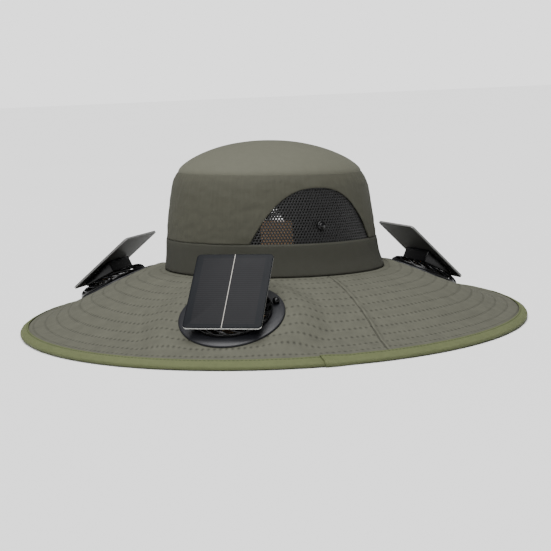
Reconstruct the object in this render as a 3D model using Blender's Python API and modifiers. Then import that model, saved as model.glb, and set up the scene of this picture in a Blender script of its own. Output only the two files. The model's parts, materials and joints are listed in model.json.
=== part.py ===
# Solar fan hat: a wide-brimmed cloth sun hat with three solar fans let into its brim.
# Metres, +Z up. The brim's taped edge rests on z = 0, the front of the hat looks along -Y,
# and the right side is +X. An azimuth is counted from the front towards the right side.

import bpy
import bmesh
from collections import namedtuple
from math import cos, pi, radians, sin, sqrt, tan
from mathutils import Matrix, Vector

# Crown, outer sizes
HEAD_LENGTH = 0.204          # at the band's top seam, front to back
HEAD_WIDTH = 0.1714          # at the band's top seam, side to side
BASE_HEIGHT = 0.0503         # seam between band and brim
BAND_HEIGHT = 0.0293         # band, seam to seam
WALL_HEIGHT = 0.0608         # crown wall, seam to seam
DOME_RISE = 0.0283           # top of the crown above its seam
DOME_POWER = 0.7             # how full the dome's curve is
BAND_FLARE = 0.0049          # how far the band spreads towards the brim, all round
BAND_SHIFT_BACK = 0.0030     # the band's foot sits this much further back than its top
CROWN_LEAN = radians(2.2)    # the front of the crown stands higher than its back

# Brim and its tape
BRIM_LENGTH = 0.4762         # front to back, at the cloth's edge
BRIM_WIDTH = 0.4596          # side to side, at the cloth's edge
BRIM_EDGE_HEIGHT = 0.0028    # upper face of the cloth at its edge
ROLL_WIDTH = 0.0100          # the turned-down margin under the tape, along the slope
ROLL_SLOPE = radians(30)
TAPE_UNDER = 0.0070          # width of the tape's lower leg
LAP_AZIMUTH = radians(68)    # where the tape's end laps over its start
LAP_LENGTH = 0.0080
LAP_LAYERS = 1.5             # thickness at the lap, in tapes

# Thickness of each cloth
WALL_CLOTH = 0.0016
BAND_CLOTH = 0.0020
BRIM_CLOTH = 0.0022
TAPE_CLOTH = 0.0012
NET_CLOTH = 0.0009
LABEL_CLOTH = 0.0008
SEAM_GAP = 0.0003            # every joint between two pieces

# Net panels in the sides of the crown
ARCH_HALF_ANGLE = radians(38.6)
ARCH_HEIGHT = 0.0484
ARCH_POWER = 2.5
ARCH_MIDDLES = {"right": radians(89), "left": radians(-89)}
NET_PITCH = 0.0140
NET_HOLE = 0.0092            # across the corners of one gap
NET_MARGIN = 0.0024          # solid edge of the net
SNAP_RADIUS = 0.0042
SNAP_HEIGHT = 0.0032
SNAP_ABOVE_BAND = 0.0153

# Label on the inside of the band
LABEL_WIDTH = 0.029
LABEL_HEIGHT = 0.020
LABEL_AZIMUTH = radians(-120)

# Fan unit, in its own frame: X down the slope, Y along the brim, Z off the cloth
RING_RADIUS = 0.0446
RING_BEVEL = 0.0020
RING_LIP = 0.0010            # height of the ring's outer edge
RING_HEIGHT = 0.0025
RING_CLAMP_RADIUS = 0.0360   # flange under the cloth
RING_CLAMP_HEIGHT = 0.0015
HOLE_RADIUS = 0.0315         # cut in the brim
COLLAR_WALL = 0.0017
COLLAR_DEPTH = 0.0075        # below the upper face of the cloth
CAGE_RADIUS = 0.0345
CAGE_HEIGHT = 0.0075         # above the ring
CAGE_SHOULDER = 0.0095       # width of the rounded shoulder
CAGE_WALL = 0.0015
CAGE_DISC_RADIUS = 0.0125
CAGE_FOOT = 0.0016           # height of the solid foot ring
CAGE_BARS = 9
CAGE_TWIST = radians(38)
CAGE_BAR_SHARE = 0.42        # share of the pitch that is bar
MOTOR_RADIUS = 0.0100
MOTOR_HEIGHT = 0.0055
SHAFT_RADIUS = 0.0010
SHAFT_LENGTH = 0.0050
HUB_RADIUS = 0.0078
HUB_HEIGHT = 0.0062
BORE_CLEARANCE = 0.0003
ROTOR_GAP = 0.0008           # between motor and hub
BLADE_COUNT = 5
BLADE_TIP_CLEARANCE = 0.0020
BLADE_THICKNESS = 0.0012
BLADE_SWEEP = radians(44)
BLADE_LIFT = 0.0046
BLADE_LEAN = radians(14)     # the tips lead the roots
BLADE_ROOT_SPREAD = 0.7      # shares of the sweep at the root, and of the lift at the tip
BLADE_TIP_LIFT = 0.75
BLADE_ROOT_DEPTH = 0.8       # the roots start this share of the hub's radius out
STAND_LENGTH = 0.034         # down the slope
STAND_WIDTH = 0.042
PANEL_LENGTH = 0.0775
PANEL_WIDTH = 0.0655
PANEL_THICKNESS = 0.0030
PANEL_CORNER = 0.0035
KNOB_RADIUS = 0.0031
KNOB_HEIGHT = 0.0046
KNOB_ANGLE = radians(115)    # round the ring, from straight down the slope

# How each unit lies on the brim: azimuth, distance of its middle from the crown's axis,
# height of the cloth there, slope, where the middle of the panel's lower edge is, and the
# tilt of the panel over the ring
Unit = namedtuple("Unit", "name azimuth out height slope edge_out edge_rise wedge")
UNITS = [
    Unit("front_right", radians(45.7), 0.1676, 0.0323, radians(25.0), 0.0345, 0.0127, radians(17.2)),
    Unit("front_left", radians(-53.4), 0.1678, 0.0272, radians(26.7), 0.0246, 0.0158, radians(12.9)),
    Unit("back", radians(173.1), 0.1620, 0.0256, radians(27.0), 0.0232, 0.0139, radians(17.0)),
]
SEAT_MARGIN = 0.0100         # the cloth is flat this far past the ring
SEAT_FADE = 0.0300           # and then eases back to the brim's own slope
SEAT_CLEAR_TOP = 0.10        # shares of the brim that stay free of a seat, at the crown
SEAT_CLEAR_EDGE = 0.12       # and at the margin

# Sections, as shares of the sizes above
WallRow = namedtuple("WallRow", "up reach")          # up the wall, share of the head size
WALL_ROWS = [WallRow(0.0, 1.0), WallRow(0.17, 0.990), WallRow(0.44, 0.968),
             WallRow(0.72, 0.940), WallRow(0.88, 0.912), WallRow(1.0, 0.8705)]
BrimRow = namedtuple("BrimRow", "out down")          # out from the crown, down to the margin
BRIM_ROWS = [BrimRow(0.0, 0.0), BrimRow(0.10, 0.055), BrimRow(0.24, 0.165), BrimRow(0.38, 0.305),
             BrimRow(0.52, 0.475), BrimRow(0.65, 0.655), BrimRow(0.78, 0.83), BrimRow(0.90, 0.95),
             BrimRow(1.0, 1.0)]
BandRow = namedtuple("BandRow", "up spread")         # up the band, share of its flare
BAND_ROWS = [BandRow(0.0, 1.0), BandRow(0.45, 0.36), BandRow(1.0, 0.0)]
DOME_REACHES = [1.0, 0.975, 0.90, 0.72, 0.42]        # shares of the top seam's size

CLOTH_SEGMENTS = 42
ROUND_SEGMENTS = 20

Ring = namedtuple("Ring", "length width back height")   # an oval round the crown's axis

for old in list(bpy.data.objects):
    bpy.data.objects.remove(old, do_unlink=True)

parts = bpy.data.collections.new("solar_fan_hat")
cutters = bpy.data.collections.new("cutters")
for collection in (parts, cutters):
    bpy.context.scene.collection.children.link(collection)


def material(name, colour, roughness, metallic=0.0):
    made = bpy.data.materials.new(name)
    made.use_nodes = True
    shader = made.node_tree.nodes["Principled BSDF"]
    shader.inputs["Base Color"].default_value = (*colour, 1.0)
    shader.inputs["Roughness"].default_value = roughness
    shader.inputs["Metallic"].default_value = metallic
    made.diffuse_color = (*colour, 1.0)
    return made


CROWN_CLOTH_LOOK = material("crown_cloth", (0.10, 0.10, 0.075), 0.75)
BAND_LOOK = material("band_cloth", (0.055, 0.055, 0.042), 0.8)
BRIM_LOOK = material("brim_cloth", (0.17, 0.175, 0.14), 0.8)
TAPE_LOOK = material("binding_tape", (0.24, 0.28, 0.12), 0.8)
NET_LOOK = material("net", (0.012, 0.012, 0.012), 0.6)
LABEL_LOOK = material("label", (0.55, 0.42, 0.27), 0.8)
BLACK_PLASTIC = material("black_plastic", (0.012, 0.012, 0.014), 0.35)
RING_PLASTIC = material("ring_plastic", (0.075, 0.08, 0.10), 0.4)
ROTOR_PLASTIC = material("rotor_plastic", (0.72, 0.64, 0.50), 0.4)
MOTOR_METAL = material("motor_metal", (0.55, 0.50, 0.42), 0.35, 1.0)
PANEL_LOOK = material("solar_cell", (0.035, 0.042, 0.055), 0.2)


def add_object(name, mesh, look, collection=parts):
    """Put a mesh in the scene as a named object with its material."""
    made = bpy.data.objects.new(name, mesh)
    collection.objects.link(made)
    if look:
        mesh.materials.append(look)
    if collection is cutters:
        made.hide_render = True
        made.display_type = "WIRE"
    return made


def mesh_from(bm, name, smooth_angle=radians(35)):
    """Finish a bmesh as a mesh with outward faces and smooth round sides."""
    bmesh.ops.recalc_face_normals(bm, faces=bm.faces)
    mesh = bpy.data.meshes.new(name)
    bm.to_mesh(mesh)
    bm.free()
    mesh.shade_smooth()
    mesh.set_sharp_from_angle(angle=smooth_angle)
    return mesh


def apply_modifiers(made):
    """Turn an object's evaluated shape into its own mesh."""
    graph = bpy.context.evaluated_depsgraph_get()
    mesh = bpy.data.meshes.new_from_object(made.evaluated_get(graph))
    made.modifiers.clear()
    made.data = mesh
    mesh.shade_smooth()
    mesh.set_sharp_from_angle(angle=radians(35))
    return made


def cut(made, cutter, operation="DIFFERENCE"):
    change = made.modifiers.new(operation.lower(), "BOOLEAN")
    change.operation = operation
    change.solver = "EXACT"
    change.object = cutter


def mix(low, high, share):
    return low + (high - low) * share


def ease(share):
    share = min(1.0, max(0.0, share))
    return share * share * (3 - 2 * share)


def between(rows, key, value, at):
    """Read a table's column at a share between its rows."""
    for low, high in zip(rows, rows[1:]):
        if at <= getattr(high, key):
            break
    share = (at - getattr(low, key)) / (getattr(high, key) - getattr(low, key))
    return mix(getattr(low, value), getattr(high, value), share)


def lean(y, height):
    """Height of a crown section at y, with the crown's lean."""
    return height - y * tan(CROWN_LEAN)


def ring_point(ring, azimuth, inset=0.0):
    y = ring.back - (ring.length / 2 - inset) * cos(azimuth)
    return Vector(((ring.width / 2 - inset) * sin(azimuth), y, lean(y, ring.height)))


def turn(segments):
    return [2 * pi * i / segments for i in range(segments)]


def loft(bm, sections, closed=True):
    """Join closed sections of equal count; the last meets the first when closed."""
    rows = [[bm.verts.new(point) for point in section] for section in sections]
    pairs = list(zip(rows, rows[1:]))
    if closed:
        pairs.append((rows[-1], rows[0]))
    for low, high in pairs:
        for i in range(len(low)):
            j = (i + 1) % len(low)
            bm.faces.new((low[i], low[j], high[j], high[i]))
    return rows


def crown_shell(name, rings, cloth, look):
    """A cloth tube through the rings, bottom to top, its wall inward of them."""
    azimuths = turn(CLOTH_SEGMENTS)
    outer = [[ring_point(ring, a) for a in azimuths] for ring in rings]
    inner = [[ring_point(ring, a, cloth) for a in azimuths] for ring in reversed(rings)]
    bm = bmesh.new()
    loft(bm, outer + inner)
    bmesh.ops.triangulate(bm, faces=bm.faces)
    return add_object(name, mesh_from(bm, name), look)


def wall_ring(up):
    """Section of the crown wall at a share of its height."""
    reach = between(WALL_ROWS, "up", "reach", up)
    height = BASE_HEIGHT + BAND_HEIGHT + WALL_HEIGHT * up
    return Ring(HEAD_LENGTH * reach, HEAD_WIDTH * reach, 0.0, height)


def band_ring(up):
    spread = between(BAND_ROWS, "up", "spread", up)
    grow = 2 * BAND_FLARE * spread
    height = BASE_HEIGHT + BAND_HEIGHT * up
    return Ring(HEAD_LENGTH + grow, HEAD_WIDTH + grow, BAND_SHIFT_BACK * spread, height)


def lifted(ring, rise):
    return ring._replace(height=ring.height + rise)


def make_crown_wall():
    rings = [wall_ring(row.up) for row in WALL_ROWS]
    rings[0] = lifted(rings[0], SEAM_GAP / 2)
    rings[-1] = lifted(rings[-1], -SEAM_GAP / 2)
    wall = crown_shell("crown_wall", rings, WALL_CLOTH, CROWN_CLOTH_LOOK)
    for side in ARCH_MIDDLES:
        cut(wall, arch_block(side, 0.0, "arch_cutter_" + side))
    return wall


def make_crown_band():
    rings = [band_ring(row.up) for row in BAND_ROWS]
    rings[0] = lifted(rings[0], SEAM_GAP / 2)
    rings[-1] = lifted(rings[-1], -SEAM_GAP / 2)
    return crown_shell("crown_band", rings, BAND_CLOTH, BAND_LOOK)


def make_crown_top():
    """The domed top: a shell that is closed at its pole and open below."""
    seam = wall_ring(1.0)
    base = seam.height + SEAM_GAP / 2
    azimuths = turn(CLOTH_SEGMENTS)

    def dome_section(reach, inset, rise):
        height = base + rise * max(0.0, 1 - reach ** 2) ** DOME_POWER
        ring = Ring(seam.length * reach, seam.width * reach, 0.0, height)
        return [ring_point(ring, a, inset * reach) for a in azimuths]

    bm = bmesh.new()
    shells = []
    for inset, rise in ((0.0, DOME_RISE), (WALL_CLOTH, DOME_RISE - WALL_CLOTH)):
        sections = [dome_section(reach, inset, rise) for reach in DOME_REACHES]
        rows = loft(bm, sections, closed=False)
        pole = bm.verts.new((0, 0, base + rise))
        last = rows[-1]
        for i in range(CLOTH_SEGMENTS):
            bm.faces.new((last[i], last[(i + 1) % CLOTH_SEGMENTS], pole))
        shells.append(rows[0])
    outer, inner = shells
    for i in range(CLOTH_SEGMENTS):
        j = (i + 1) % CLOTH_SEGMENTS
        bm.faces.new((outer[i], outer[j], inner[j], inner[i]))
    return add_object("crown_top", mesh_from(bm, "crown_top"), CROWN_CLOTH_LOOK)


def wall_point(azimuth, up, inset=0.0):
    return ring_point(wall_ring(up), azimuth, inset)


def wall_frame(azimuth, up, off=0.0):
    """Frame on the wall's outer face, Z square to it."""
    step = 0.05
    along = wall_point(azimuth + step, up) - wall_point(azimuth - step, up)
    rise = wall_point(azimuth, up + step) - wall_point(azimuth, up - step)
    outward = along.cross(rise).normalized()
    place = wall_point(azimuth, up) + outward * off
    return Matrix.Translation(place) @ outward.to_track_quat("Z", "Y").to_matrix().to_4x4()


def arch_height(share):
    """Height share of the arch at a share of its half angle."""
    return 1 - abs(share) ** ARCH_POWER


def arch_block(side, inset, name):
    """A wedge through the wall with the arch's outline, narrower by inset all round."""
    middle = ARCH_MIDDLES[side]
    half = ARCH_HALF_ANGLE - inset / (HEAD_LENGTH / 2)
    top = (ARCH_HEIGHT - inset) / WALL_HEIGHT
    below = -2 * BAND_CLOTH / WALL_HEIGHT
    steps = 16
    shares = [2 * i / steps - 1 for i in range(steps + 1)]
    outline = [(middle + half * share, below) for share in shares]
    outline += [(middle + half * share, top * arch_height(share)) for share in reversed(shares)]
    bm = bmesh.new()
    loops = []
    for reach in (0.86, 1.14):
        points = [wall_point(azimuth, max(up, 0.0)) for azimuth, up in outline]
        loop = []
        for point, (azimuth, up) in zip(points, outline):
            drop = WALL_HEIGHT * min(up, 0.0)
            loop.append(Vector((point.x * reach, point.y * reach, point.z + drop)))
        loops.append(loop)
    rows = loft(bm, loops, closed=False)
    for row in rows:
        centre = bm.verts.new(sum((v.co for v in row), Vector()) / len(row))
        for i in range(len(row)):
            bm.faces.new((row[i], row[(i + 1) % len(row)], centre))
    bmesh.ops.triangulate(bm, faces=bm.faces, quad_method="FIXED")
    return add_object(name, mesh_from(bm, name), None, cutters)


def net_holes(side, name):
    """Staggered six-sided plugs that pierce the net, square to it."""
    middle = ARCH_MIDDLES[side]
    reach = HEAD_LENGTH / 2
    bm = bmesh.new()
    row_step = NET_PITCH * sqrt(3) / 2
    rows = int(ARCH_HEIGHT / row_step) + 1
    columns = int(ARCH_HALF_ANGLE * reach / NET_PITCH) + 1
    clear = NET_MARGIN + NET_HOLE / 2
    for row in range(rows):
        rise = clear + row * row_step
        shift = NET_PITCH / 2 * (row % 2)
        for column in range(-columns, columns + 1):
            along = column * NET_PITCH + shift
            share = (abs(along) + clear) / (ARCH_HALF_ANGLE * reach)
            if share > 1 or rise + clear > ARCH_HEIGHT * arch_height(share):
                continue
            azimuth = middle + along / reach
            bmesh.ops.create_cone(bm, cap_ends=True, segments=6, radius1=NET_HOLE / 2,
                                  radius2=NET_HOLE / 2, depth=8 * NET_CLOTH,
                                  matrix=wall_frame(azimuth, rise / WALL_HEIGHT))
    return add_object(name, mesh_from(bm, name), None, cutters)


def make_net(side):
    """A net panel: a thin piece of the wall's own curve, trimmed to the arch."""
    middle = ARCH_MIDDLES[side]
    columns = 10
    lift = SEAM_GAP / 2 / WALL_HEIGHT
    top = ARCH_HEIGHT / WALL_HEIGHT
    ups = [lift] + [row.up for row in WALL_ROWS if 0 < row.up < top] + [top + lift]
    angles = [middle + ARCH_HALF_ANGLE * 1.02 * (2 * i / columns - 1) for i in range(columns + 1)]
    bm = bmesh.new()
    loops = []
    for azimuth in angles:
        outer = [wall_point(azimuth, up) for up in ups]
        inner = [wall_point(azimuth, up, NET_CLOTH) for up in reversed(ups)]
        loops.append(outer + inner)
    rows = loft(bm, loops, closed=False)
    for row in (rows[0], rows[-1]):
        bm.faces.new(row)
    name = "mesh_" + side
    net = add_object(name, mesh_from(bm, name), NET_LOOK)
    cut(net, arch_block(side, SEAM_GAP, "net_outline_" + side), "INTERSECT")
    cut(net, net_holes(side, "net_holes_" + side))
    return net


def turned_piece(name, profile, look, closed, segments=ROUND_SEGMENTS, matrix=None):
    """A profile of (radius, height) points, outer side downwards, spun round Z."""
    bm = bmesh.new()
    points = [bm.verts.new((radius, 0, height)) for radius, height in profile]
    for low, high in zip(points, points[1:]):
        bm.edges.new((low, high))
    if closed:
        bm.edges.new((points[-1], points[0]))
    mesh = bpy.data.meshes.new(name)
    bm.to_mesh(mesh)
    bm.free()
    made = add_object(name, mesh, look)
    spin = made.modifiers.new("spin", "SCREW")
    spin.axis = "Z"
    spin.angle = 2 * pi
    spin.steps = segments
    spin.render_steps = segments
    spin.use_merge_vertices = True
    spin.merge_threshold = 0.00001
    spin.use_smooth_shade = True
    if matrix:
        made.matrix_world = matrix
    return made


def dome_profile(radius, height, foot=0.0):
    """Half outline of a button: flat foot, upright side, rounded top."""
    steps = 3
    side = foot + height * 0.45
    rounded = [(radius * sin(pi / 2 * i / steps), side + (height - side) * cos(pi / 2 * i / steps))
               for i in range(steps + 1)]
    return rounded + [(radius, foot), (0, foot)]


def make_snap(side):
    place = wall_frame(ARCH_MIDDLES[side], SNAP_ABOVE_BAND / WALL_HEIGHT, SEAM_GAP)
    profile = dome_profile(SNAP_RADIUS, SNAP_HEIGHT)
    return turned_piece("snap_" + side, profile, BLACK_PLASTIC, False, 10, place)


def make_label():
    """A bare patch on the inner face of the band."""
    reach = HEAD_WIDTH / 2
    facet = HEAD_LENGTH / 2 * (1 - cos(pi / CLOTH_SEGMENTS))
    inset = BAND_CLOTH + SEAM_GAP + facet
    half = LABEL_WIDTH / 2 / reach
    top = 1 - SEAM_GAP / BAND_HEIGHT
    low = top - LABEL_HEIGHT / BAND_HEIGHT
    ups = [low] + [row.up for row in BAND_ROWS if low < row.up < top] + [top]
    columns = 4
    bm = bmesh.new()
    loops = []
    for i in range(columns + 1):
        azimuth = LABEL_AZIMUTH + half * (2 * i / columns - 1)
        face = [ring_point(band_ring(up), azimuth, inset) for up in ups]
        back = [ring_point(band_ring(up), azimuth, inset + LABEL_CLOTH) for up in reversed(ups)]
        loops.append(face + back)
    rows = loft(bm, loops, closed=False)
    for row in (rows[0], rows[-1]):
        bm.faces.new(row)
    return add_object("inner_label", mesh_from(bm, "inner_label"), LABEL_LOOK)


def unit_frame(unit):
    """Frame of a fan unit on the cloth: X down the slope, Z off the cloth."""
    out = Vector((sin(unit.azimuth), -cos(unit.azimuth), 0))
    along = Vector((cos(unit.azimuth), sin(unit.azimuth), 0))
    up = Vector((0, 0, 1))
    down_slope = out * cos(unit.slope) - up * sin(unit.slope)
    off = out * sin(unit.slope) + up * cos(unit.slope)
    frame = Matrix((down_slope, along, off)).transposed().to_4x4()
    frame.translation = out * unit.out + up * unit.height
    return frame


FRAMES = {unit.name: unit_frame(unit) for unit in UNITS}


def seat(x, y, height, out):
    """Ease a brim height into the flat seat of a fan unit close by."""
    flat = RING_RADIUS + SEAT_MARGIN
    free = ease(out / SEAT_CLEAR_TOP) * ease((1 - out) / SEAT_CLEAR_EDGE)
    for frame in FRAMES.values():
        middle = frame.translation
        off = frame.col[2].to_3d()
        rise = -((x - middle.x) * off.x + (y - middle.y) * off.y) / off.z
        distance = Vector((x - middle.x, y - middle.y, rise)).length
        plane = middle.z + rise * min(1.0, flat / max(distance, SEAM_GAP))
        plane = max(plane, BRIM_EDGE_HEIGHT)
        share = 1 - ease((distance - flat) / SEAT_FADE)
        height = mix(height, plane, share * free)
    return height


def edge_outward(azimuth):
    """Level outward direction of the brim's edge."""
    return Vector((sin(azimuth) * BRIM_LENGTH, -cos(azimuth) * BRIM_WIDTH, 0)).normalized()


def edge_point(azimuth):
    """Upper face of the cloth at the brim's edge."""
    return Vector((BRIM_WIDTH / 2 * sin(azimuth), -BRIM_LENGTH / 2 * cos(azimuth), BRIM_EDGE_HEIGHT))


def brim_point(azimuth, out):
    """Upper face of the brim at a share of the way from the crown to its margin."""
    start = ring_point(band_ring(0.0), azimuth)
    start.z -= SEAM_GAP / 2
    end = edge_point(azimuth) - edge_outward(azimuth) * ROLL_WIDTH * cos(ROLL_SLOPE)
    end.z += ROLL_WIDTH * sin(ROLL_SLOPE)
    place = start.lerp(end, out)
    height = mix(start.z, end.z, between(BRIM_ROWS, "out", "down", out))
    place.z = seat(place.x, place.y, height, out)
    return place


def brim_depth(azimuth, out):
    """Upright depth of the cloth, so that its wall keeps its thickness on the slope."""
    step = 0.002
    along = brim_point(azimuth + step, out) - brim_point(azimuth - step, out)
    low, high = max(out - step, 0.0), min(out + step, 1.0)
    across = brim_point(azimuth, high) - brim_point(azimuth, low)
    return BRIM_CLOTH / abs(across.cross(along).normalized().z)


def make_brim():
    azimuths = turn(CLOTH_SEGMENTS)
    foot = band_ring(0.0)
    slope = Vector((sin(ROLL_SLOPE), 0, cos(ROLL_SLOPE)))
    upper = []
    lower = []
    inner = [ring_point(foot, a, BAND_CLOTH) - Vector((0, 0, SEAM_GAP / 2)) for a in azimuths]
    upper.append(inner)
    lower.append([point - Vector((0, 0, BRIM_CLOTH)) for point in inner])
    for row in BRIM_ROWS:
        top = [brim_point(a, row.out) for a in azimuths]
        upper.append(top)
        lower.append([point - Vector((0, 0, brim_depth(a, row.out)))
                      for a, point in zip(azimuths, top)])
    upper.append([edge_point(a) for a in azimuths])
    lower.append([edge_point(a) - (edge_outward(a) * slope.x + Vector((0, 0, slope.z))) * BRIM_CLOTH
                  for a in azimuths])
    bm = bmesh.new()
    loft(bm, upper + lower[::-1])
    bmesh.ops.triangulate(bm, faces=bm.faces)
    brim = add_object("brim", mesh_from(bm, "brim"), BRIM_LOOK)
    for unit in UNITS:
        cut(brim, seat_cutter(unit))
    return brim


def seat_cutter(unit):
    """Cuts the hole for the fan, and clears what stands in the way of its ring and clamp."""
    depth = 4 * BRIM_CLOTH
    reach = RING_RADIUS + SEAM_GAP
    clamp = RING_CLAMP_RADIUS + SEAM_GAP
    under = -BRIM_CLOTH - SEAM_GAP / 2
    profile = [(0, depth), (reach, depth), (reach, SEAM_GAP / 2), (HOLE_RADIUS, SEAM_GAP / 2),
               (HOLE_RADIUS, under), (clamp, under), (clamp, -depth), (0, -depth)]
    name = "seat_cutter_" + unit.name
    cutter = turned_piece(name, profile, None, False, ROUND_SEGMENTS, FRAMES[unit.name])
    parts.objects.unlink(cutter)
    cutters.objects.link(cutter)
    cutter.hide_render = True
    cutter.display_type = "WIRE"
    return cutter


def tape_section(azimuth, layers):
    """The folded tape's section at the brim's edge: round its outside, back inside."""
    cloth = TAPE_CLOTH * layers
    top = SEAM_GAP + cloth
    under = BRIM_CLOTH + SEAM_GAP
    outline = [(-ROLL_WIDTH, top), (0.4 * cloth, top), (SEAM_GAP + cloth, 0.4 * cloth),
               (SEAM_GAP + cloth, -under), (SEAM_GAP, -under - cloth), (-TAPE_UNDER, -under - cloth),
               (-TAPE_UNDER, -under), (SEAM_GAP, -under), (SEAM_GAP, SEAM_GAP),
               (-ROLL_WIDTH, SEAM_GAP)]
    edge = edge_point(azimuth)
    outward = edge_outward(azimuth)
    points = []
    for along, off in outline:
        level = along * cos(ROLL_SLOPE) + off * sin(ROLL_SLOPE)
        height = edge.z - along * sin(ROLL_SLOPE) + off * cos(ROLL_SLOPE)
        points.append(Vector((edge.x + outward.x * level, edge.y + outward.y * level,
                              max(0.0, height))))
    return points


def make_binding():
    """The tape round the brim's edge, doubled where its end laps over its start."""
    lap = LAP_LENGTH / (BRIM_LENGTH / 2)
    step = lap / 20
    end = LAP_AZIMUTH + lap
    stations = [(a, 1.0) for a in turn(CLOTH_SEGMENTS) if not LAP_AZIMUTH - step < a < end + step]
    stations += [(LAP_AZIMUTH - step, 1.0), (LAP_AZIMUTH, LAP_LAYERS),
                 (end, LAP_LAYERS), (end + step, 1.0)]
    stations.sort()
    bm = bmesh.new()
    loft(bm, [tape_section(azimuth, layers) for azimuth, layers in stations])
    return add_object("brim_binding", mesh_from(bm, "brim_binding"), TAPE_LOOK)


def ring_profile():
    collar = HOLE_RADIUS - SEAM_GAP
    inner = collar - COLLAR_WALL
    under = -BRIM_CLOTH - SEAM_GAP
    return [(RING_RADIUS - RING_BEVEL, RING_HEIGHT), (RING_RADIUS, RING_LIP), (RING_RADIUS, SEAM_GAP),
            (collar, SEAM_GAP), (collar, under), (RING_CLAMP_RADIUS, under),
            (RING_CLAMP_RADIUS, under - RING_CLAMP_HEIGHT), (collar, under - RING_CLAMP_HEIGHT),
            (collar, -COLLAR_DEPTH), (inner, -COLLAR_DEPTH), (inner, RING_HEIGHT)]


def cage_outline():
    """Outer face of the cage as (radius, height) from the middle disc down to the foot."""
    foot = RING_HEIGHT + SEAM_GAP
    top = foot + CAGE_HEIGHT
    shoulder = CAGE_RADIUS - CAGE_SHOULDER
    drop = CAGE_HEIGHT - CAGE_FOOT
    rounded = [(shoulder + CAGE_SHOULDER * sin(pi / 4 * i), top - drop * (1 - cos(pi / 4 * i)))
               for i in range(3)]
    return [(CAGE_DISC_RADIUS, top)] + rounded + [(CAGE_RADIUS, foot)]


def make_cage_mesh():
    """A sheet of twisted bars between a disc and a foot ring, given a wall inwards."""
    outline = cage_outline()
    pitch = 2 * pi / CAGE_BARS
    reach = outline[-2][0] - outline[0][0]
    bm = bmesh.new()
    rows = []
    for radius, height in outline:
        twist = CAGE_TWIST * (radius - outline[0][0]) / reach
        row = []
        for bar in range(CAGE_BARS):
            for share in (0, CAGE_BAR_SHARE):
                angle = twist + pitch * (bar + share)
                row.append(bm.verts.new((radius * cos(angle), radius * sin(angle), height)))
        rows.append(row)
    bm.faces.new(rows[0])
    count = len(rows[0])
    last = len(rows) - 2
    for level, (high, low) in enumerate(zip(rows, rows[1:])):
        for i in range(count):
            if level < last and i % 2:
                continue
            j = (i + 1) % count
            bm.faces.new((low[i], low[j], high[j], high[i]))
    mesh = mesh_from(bm, "fan_cage")
    made = add_object("fan_cage_sheet", mesh, BLACK_PLASTIC)
    wall = made.modifiers.new("wall", "SOLIDIFY")
    wall.thickness = CAGE_WALL
    wall.offset = -1
    wall.use_even_offset = True
    return made


def make_motor(name, frame):
    top = RING_HEIGHT + SEAM_GAP + CAGE_HEIGHT - CAGE_WALL - SEAM_GAP
    low = top - MOTOR_HEIGHT
    profile = [(0, top), (MOTOR_RADIUS, top), (MOTOR_RADIUS, low), (SHAFT_RADIUS, low),
               (SHAFT_RADIUS, low - SHAFT_LENGTH), (0, low - SHAFT_LENGTH)]
    return turned_piece(name, profile, MOTOR_METAL, False, 10, frame)


def hub_heights():
    """Top and bottom of the rotor's hub in the unit's frame."""
    motor_low = RING_HEIGHT + CAGE_HEIGHT - CAGE_WALL - MOTOR_HEIGHT
    top = motor_low - ROTOR_GAP
    return top, top - HUB_HEIGHT


def make_rotor_mesh():
    """Hub and twisted blades, joined into one body with a blind bore."""
    top, low = hub_heights()
    bore = SHAFT_RADIUS + BORE_CLEARANCE
    bore_end = top + ROTOR_GAP - SHAFT_LENGTH - BORE_CLEARANCE
    profile = [(0, bore_end), (bore, bore_end), (bore, top), (HUB_RADIUS, top), (HUB_RADIUS, low),
               (0, low)]
    hub = turned_piece("rotor_hub", profile, ROTOR_PLASTIC, False, 10)
    tip = HOLE_RADIUS - SEAM_GAP - COLLAR_WALL - BLADE_TIP_CLEARANCE
    middle = (top + low) / 2
    root = HUB_RADIUS * BLADE_ROOT_DEPTH
    bm = bmesh.new()
    for blade in range(BLADE_COUNT):
        base = 2 * pi * blade / BLADE_COUNT
        rows = []
        for share in (0.0, 0.5, 1.0):
            radius = mix(root, tip, share)
            spread = BLADE_SWEEP * mix(BLADE_ROOT_SPREAD, 1.0, ease(share))
            row = []
            for side in (-0.5, 0.0, 0.5):
                angle = base + spread * side + BLADE_LEAN * share
                rise = BLADE_LIFT * -side * mix(1.0, BLADE_TIP_LIFT, share)
                row.append(bm.verts.new((radius * cos(angle), radius * sin(angle), middle + rise)))
            rows.append(row)
        for near, far in zip(rows, rows[1:]):
            for i in range(2):
                bm.faces.new((near[i], far[i], far[i + 1], near[i + 1]))
    mesh = mesh_from(bm, "rotor_blades")
    blades = add_object("rotor_blades", mesh, ROTOR_PLASTIC)
    wall = blades.modifiers.new("wall", "SOLIDIFY")
    wall.thickness = BLADE_THICKNESS
    wall.offset = 0
    apply_modifiers(blades)
    cut(hub, blades, "UNION")
    apply_modifiers(hub)
    bpy.data.objects.remove(blades, do_unlink=True)
    return hub


def panel_height(unit, along):
    """Height of the panel's upper face over the cloth, along the unit's X."""
    return unit.edge_rise + (unit.edge_out - along) * tan(unit.wedge)


def make_stand(unit):
    """The block under the panel: flat on the cage, its top sloped to the panel."""
    foot = RING_HEIGHT + 2 * SEAM_GAP + CAGE_HEIGHT
    bm = bmesh.new()
    bmesh.ops.create_cube(bm, size=1.0)
    for vert in bm.verts:
        vert.co.x *= STAND_LENGTH
        vert.co.y *= STAND_WIDTH
        if vert.co.z < 0:
            vert.co.z = foot
        else:
            gap = (PANEL_THICKNESS + SEAM_GAP) / cos(unit.wedge)
            vert.co.z = panel_height(unit, vert.co.x) - gap
    name = "panel_stand_" + unit.name
    return add_object(name, mesh_from(bm, name), BLACK_PLASTIC)


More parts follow.
